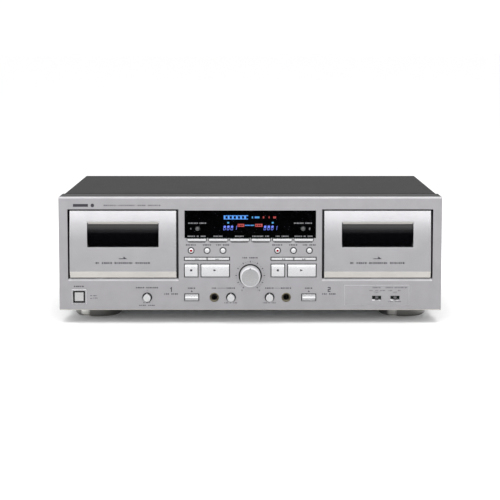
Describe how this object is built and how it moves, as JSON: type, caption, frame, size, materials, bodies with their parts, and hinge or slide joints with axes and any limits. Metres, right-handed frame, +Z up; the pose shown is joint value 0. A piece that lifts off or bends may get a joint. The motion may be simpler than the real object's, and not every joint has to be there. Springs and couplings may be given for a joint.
{
  "type": "double cassette deck",
  "caption": "Full-width hi-fi cassette deck with twin hinged cassette doors, central display and key field, level knobs, jacks and round feet.",
  "frame": {"origin": "on the surface the deck stands on, under the middle of the deck", "axes": "+X to the right seen from the front, +Y to the back, +Z up"},
  "size_m": [0.435, 0.286, 0.145],
  "materials": {
    "panel_silver": "fine brushed, anodised silver",
    "door_silver": "silver paint",
    "key_silver": "bright silver paint",
    "cover_charcoal": "fine textured charcoal paint",
    "frame_dark": "moulded, matt",
    "chassis_zinc": "zinc plated",
    "foot_plated": "bright silver plated cup on a rubber pad",
    "lens_smoked": "polished smoked acrylic",
    "window_smoked": "polished smoked acrylic",
    "board_green": "coated board with parts",
    "transformer_iron": "varnished laminations",
    "socket_black": "moulded",
    "plate_steel": "zinc plated",
    "carrier_black": "moulded",
    "reel_black": "moulded",
    "flywheel_brass": "turned",
    "carriage_steel": "polished",
    "roller_rubber": "ground rubber",
    "screw_black": "black oxide",
    "knob_silver": "satin",
    "lever_black": "satin"
  },
  "bodies": {
    "deck": {"bottom_chassis": "chassis_zinc", "top_cover": "cover_charcoal", "front_panel": "panel_silver", "front_subframe": "frame_dark", "feet": "foot_plated", "display_window": "lens_smoked", "circuit_boards": "board_green", "power_transformer": "transformer_iron", "panel_sockets": "socket_black", "transport_frames": "plate_steel", "cover_screws": "screw_black"},
    "left_door": {"left_door_panel": "door_silver", "left_door_window": "window_smoked", "left_cassette_carrier": "carrier_black"},
    "left_supply_reel": {"left_supply_reel": "reel_black"},
    "left_takeup_reel": {"left_takeup_reel": "reel_black"},
    "left_flywheel": {"left_flywheel": "flywheel_brass"},
    "left_motor_pulley": {"left_motor_pulley": "flywheel_brass"},
    "left_head_carriage": {"left_head_carriage": "carriage_steel"},
    "left_pinch_roller": {"left_pinch_roller": "roller_rubber"},
    "right_door": {"right_door_panel": "door_silver", "right_door_window": "window_smoked", "right_cassette_carrier": "carrier_black"},
    "right_supply_reel": {"right_supply_reel": "reel_black"},
    "right_takeup_reel": {"right_takeup_reel": "reel_black"},
    "right_flywheel": {"right_flywheel": "flywheel_brass"},
    "right_motor_pulley": {"right_motor_pulley": "flywheel_brass"},
    "right_head_carriage": {"right_head_carriage": "carriage_steel"},
    "right_pinch_roller": {"right_pinch_roller": "roller_rubber"},
    "left_return_key": {"left_return_key": "key_silver"},
    "dubbing_key": {"dubbing_key": "key_silver"},
    "repeat_key": {"repeat_key": "key_silver"},
    "parallel_key": {"parallel_key": "key_silver"},
    "dub_start_key": {"dub_start_key": "key_silver"},
    "right_return_key": {"right_return_key": "key_silver"},
    "left_rewind_key": {"left_rewind_key": "key_silver"},
    "left_forward_key": {"left_forward_key": "key_silver"},
    "left_stop_key": {"left_stop_key": "key_silver"},
    "left_play_key": {"left_play_key": "key_silver"},
    "left_record_key": {"left_record_key": "key_silver"},
    "left_pause_key": {"left_pause_key": "key_silver"},
    "left_mute_key": {"left_mute_key": "key_silver"},
    "left_counter_key": {"left_counter_key": "reel_black"},
    "right_rewind_key": {"right_rewind_key": "key_silver"},
    "right_forward_key": {"right_forward_key": "key_silver"},
    "right_stop_key": {"right_stop_key": "key_silver"},
    "right_play_key": {"right_play_key": "key_silver"},
    "right_record_key": {"right_record_key": "key_silver"},
    "right_pause_key": {"right_pause_key": "key_silver"},
    "right_mute_key": {"right_mute_key": "key_silver"},
    "right_counter_key": {"right_counter_key": "reel_black"},
    "left_eject_key": {"left_eject_key": "key_silver"},
    "right_eject_key": {"right_eject_key": "key_silver"},
    "power_key": {"power_key": "key_silver"},
    "rec_level_knob": {"rec_level_knob": "knob_silver"},
    "mic_level_knob": {"mic_level_knob": "knob_silver"},
    "phones_level_knob": {"phones_level_knob": "knob_silver"},
    "pitch_knob": {"pitch_knob": "knob_silver"},
    "timer_switch": {"timer_switch": "lever_black"},
    "noise_reduction_switch": {"noise_reduction_switch": "lever_black"}
  },
  "joints": [
    {"name": "left_door_hinge", "type": "hinge", "parent": "deck", "child": "left_door", "pos_m": [-0.1445, -0.122, 0.0515], "axis": [1, 0, 0], "range_deg": [0, 30]},
    {"name": "left_supply_reel_spin", "type": "hinge", "parent": "deck", "child": "left_supply_reel", "pos_m": [-0.16575, -0.105, 0.099], "axis": [0, 1, 0], "continuous": true},
    {"name": "left_takeup_reel_spin", "type": "hinge", "parent": "deck", "child": "left_takeup_reel", "pos_m": [-0.12325, -0.105, 0.099], "axis": [0, 1, 0], "continuous": true},
    {"name": "left_flywheel_spin", "type": "hinge", "parent": "deck", "child": "left_flywheel", "pos_m": [-0.1175, -0.09, 0.068], "axis": [0, 1, 0], "continuous": true},
    {"name": "left_pulley_spin", "type": "hinge", "parent": "deck", "child": "left_motor_pulley", "pos_m": [-0.1625, -0.0825, 0.068], "axis": [0, 1, 0], "continuous": true},
    {"name": "left_head_slide", "type": "slide", "parent": "deck", "child": "left_head_carriage", "axis": [0, 0, 1], "range_m": [0, 0.0056]},
    {"name": "left_roller_spin", "type": "hinge", "parent": "left_head_carriage", "child": "left_pinch_roller", "pos_m": [-0.1175, -0.11425, 0.05595], "axis": [0, 1, 0], "continuous": true},
    {"name": "right_door_hinge", "type": "hinge", "parent": "deck", "child": "right_door", "pos_m": [0.1445, -0.122, 0.0515], "axis": [1, 0, 0], "range_deg": [0, 30]},
    {"name": "right_supply_reel_spin", "type": "hinge", "parent": "deck", "child": "right_supply_reel", "pos_m": [0.12325, -0.105, 0.099], "axis": [0, 1, 0], "continuous": true},
    {"name": "right_takeup_reel_spin", "type": "hinge", "parent": "deck", "child": "right_takeup_reel", "pos_m": [0.16575, -0.105, 0.099], "axis": [0, 1, 0], "continuous": true},
    {"name": "right_flywheel_spin", "type": "hinge", "parent": "deck", "child": "right_flywheel", "pos_m": [0.1715, -0.09, 0.068], "axis": [0, 1, 0], "continuous": true},
    {"name": "right_pulley_spin", "type": "hinge", "parent": "deck", "child": "right_motor_pulley", "pos_m": [0.1265, -0.0825, 0.068], "axis": [0, 1, 0], "continuous": true},
    {"name": "right_head_slide", "type": "slide", "parent": "deck", "child": "right_head_carriage", "axis": [0, 0, 1], "range_m": [0, 0.0056]},
    {"name": "right_roller_spin", "type": "hinge", "parent": "right_head_carriage", "child": "right_pinch_roller", "pos_m": [0.1715, -0.11425, 0.05595], "axis": [0, 1, 0], "continuous": true},
    {"name": "left_return_key_press", "type": "slide", "parent": "deck", "child": "left_return_key", "axis": [0, 1, 0], "range_m": [0, 0.0008], "stiffness_N_per_m": 500},
    {"name": "dubbing_key_press", "type": "slide", "parent": "deck", "child": "dubbing_key", "axis": [0, 1, 0], "range_m": [0, 0.0008], "stiffness_N_per_m": 500},
    {"name": "repeat_key_press", "type": "slide", "parent": "deck", "child": "repeat_key", "axis": [0, 1, 0], "range_m": [0, 0.0008], "stiffness_N_per_m": 500},
    {"name": "parallel_key_press", "type": "slide", "parent": "deck", "child": "parallel_key", "axis": [0, 1, 0], "range_m": [0, 0.0008], "stiffness_N_per_m": 500},
    {"name": "dub_start_key_press", "type": "slide", "parent": "deck", "child": "dub_start_key", "axis": [0, 1, 0], "range_m": [0, 0.0008], "stiffness_N_per_m": 500},
    {"name": "right_return_key_press", "type": "slide", "parent": "deck", "child": "right_return_key", "axis": [0, 1, 0], "range_m": [0, 0.0008], "stiffness_N_per_m": 500},
    {"name": "left_rewind_key_press", "type": "slide", "parent": "deck", "child": "left_rewind_key", "axis": [0, 1, 0], "range_m": [0, 0.0008], "stiffness_N_per_m": 500},
    {"name": "left_forward_key_press", "type": "slide", "parent": "deck", "child": "left_forward_key", "axis": [0, 1, 0], "range_m": [0, 0.0008], "stiffness_N_per_m": 500},
    {"name": "left_stop_key_press", "type": "slide", "parent": "deck", "child": "left_stop_key", "axis": [0, 1, 0], "range_m": [0, 0.0008], "stiffness_N_per_m": 500},
    {"name": "left_play_key_press", "type": "slide", "parent": "deck", "child": "left_play_key", "axis": [0, 1, 0], "range_m": [0, 0.0008], "stiffness_N_per_m": 500},
    {"name": "left_record_key_press", "type": "slide", "parent": "deck", "child": "left_record_key", "axis": [0, 1, 0], "range_m": [0, 0.0008], "stiffness_N_per_m": 500},
    {"name": "left_pause_key_press", "type": "slide", "parent": "deck", "child": "left_pause_key", "axis": [0, 1, 0], "range_m": [0, 0.0008], "stiffness_N_per_m": 500},
    {"name": "left_mute_key_press", "type": "slide", "parent": "deck", "child": "left_mute_key", "axis": [0, 1, 0], "range_m": [0, 0.0008], "stiffness_N_per_m": 500},
    {"name": "left_counter_key_press", "type": "slide", "parent": "deck", "child": "left_counter_key", "axis": [0, 1, 0], "range_m": [0, 0.0008], "stiffness_N_per_m": 500},
    {"name": "right_rewind_key_press", "type": "slide", "parent": "deck", "child": "right_rewind_key", "axis": [0, 1, 0], "range_m": [0, 0.0008], "stiffness_N_per_m": 500},
    {"name": "right_forward_key_press", "type": "slide", "parent": "deck", "child": "right_forward_key", "axis": [0, 1, 0], "range_m": [0, 0.0008], "stiffness_N_per_m": 500},
    {"name": "right_stop_key_press", "type": "slide", "parent": "deck", "child": "right_stop_key", "axis": [0, 1, 0], "range_m": [0, 0.0008], "stiffness_N_per_m": 500},
    {"name": "right_play_key_press", "type": "slide", "parent": "deck", "child": "right_play_key", "axis": [0, 1, 0], "range_m": [0, 0.0008], "stiffness_N_per_m": 500},
    {"name": "right_record_key_press", "type": "slide", "parent": "deck", "child": "right_record_key", "axis": [0, 1, 0], "range_m": [0, 0.0008], "stiffness_N_per_m": 500},
    {"name": "right_pause_key_press", "type": "slide", "parent": "deck", "child": "right_pause_key", "axis": [0, 1, 0], "range_m": [0, 0.0008], "stiffness_N_per_m": 500},
    {"name": "right_mute_key_press", "type": "slide", "parent": "deck", "child": "right_mute_key", "axis": [0, 1, 0], "range_m": [0, 0.0008], "stiffness_N_per_m": 500},
    {"name": "right_counter_key_press", "type": "slide", "parent": "deck", "child": "right_counter_key", "axis": [0, 1, 0], "range_m": [0, 0.0008], "stiffness_N_per_m": 500},
    {"name": "left_eject_key_press", "type": "slide", "parent": "deck", "child": "left_eject_key", "axis": [0, 1, 0], "range_m": [0, 0.0025], "stiffness_N_per_m": 400},
    {"name": "right_eject_key_press", "type": "slide", "parent": "deck", "child": "right_eject_key", "axis": [0, 1, 0], "range_m": [0, 0.0025], "stiffness_N_per_m": 400},
    {"name": "power_key_press", "type": "slide", "parent": "deck", "child": "power_key", "axis": [0, 1, 0], "range_m": [0, 0.003], "stiffness_N_per_m": 300},
    {"name": "rec_level_turn", "type": "hinge", "parent": "deck", "child": "rec_level_knob", "pos_m": [0, -0.135, 0.05485], "axis": [0, -1, 0], "range_deg": [-150, 150]},
    {"name": "mic_level_turn", "type": "hinge", "parent": "deck", "child": "mic_level_knob", "pos_m": [-0.022, -0.13, 0.0297], "axis": [0, -1, 0], "range_deg": [-150, 150]},
    {"name": "phones_level_turn", "type": "hinge", "parent": "deck", "child": "phones_level_knob", "pos_m": [0.022, -0.13, 0.0297], "axis": [0, -1, 0], "range_deg": [-150, 150]},
    {"name": "pitch_turn", "type": "hinge", "parent": "deck", "child": "pitch_knob", "pos_m": [-0.1175, -0.13, 0.0297], "axis": [0, -1, 0], "range_deg": [-150, 150]},
    {"name": "timer_switch_slide", "type": "slide", "parent": "deck", "child": "timer_switch", "axis": [1, 0, 0], "range_m": [-0.003, 0.003]},
    {"name": "noise_reduction_switch_slide", "type": "slide", "parent": "deck", "child": "noise_reduction_switch", "axis": [1, 0, 0], "range_m": [-0.003, 0.003]}
  ],
  "couplings": [
    {"joint": "left_pulley_spin", "follows": "left_flywheel_spin", "ratio": 5.6667},
    {"joint": "right_pulley_spin", "follows": "right_flywheel_spin", "ratio": 5.6667}
  ]
}
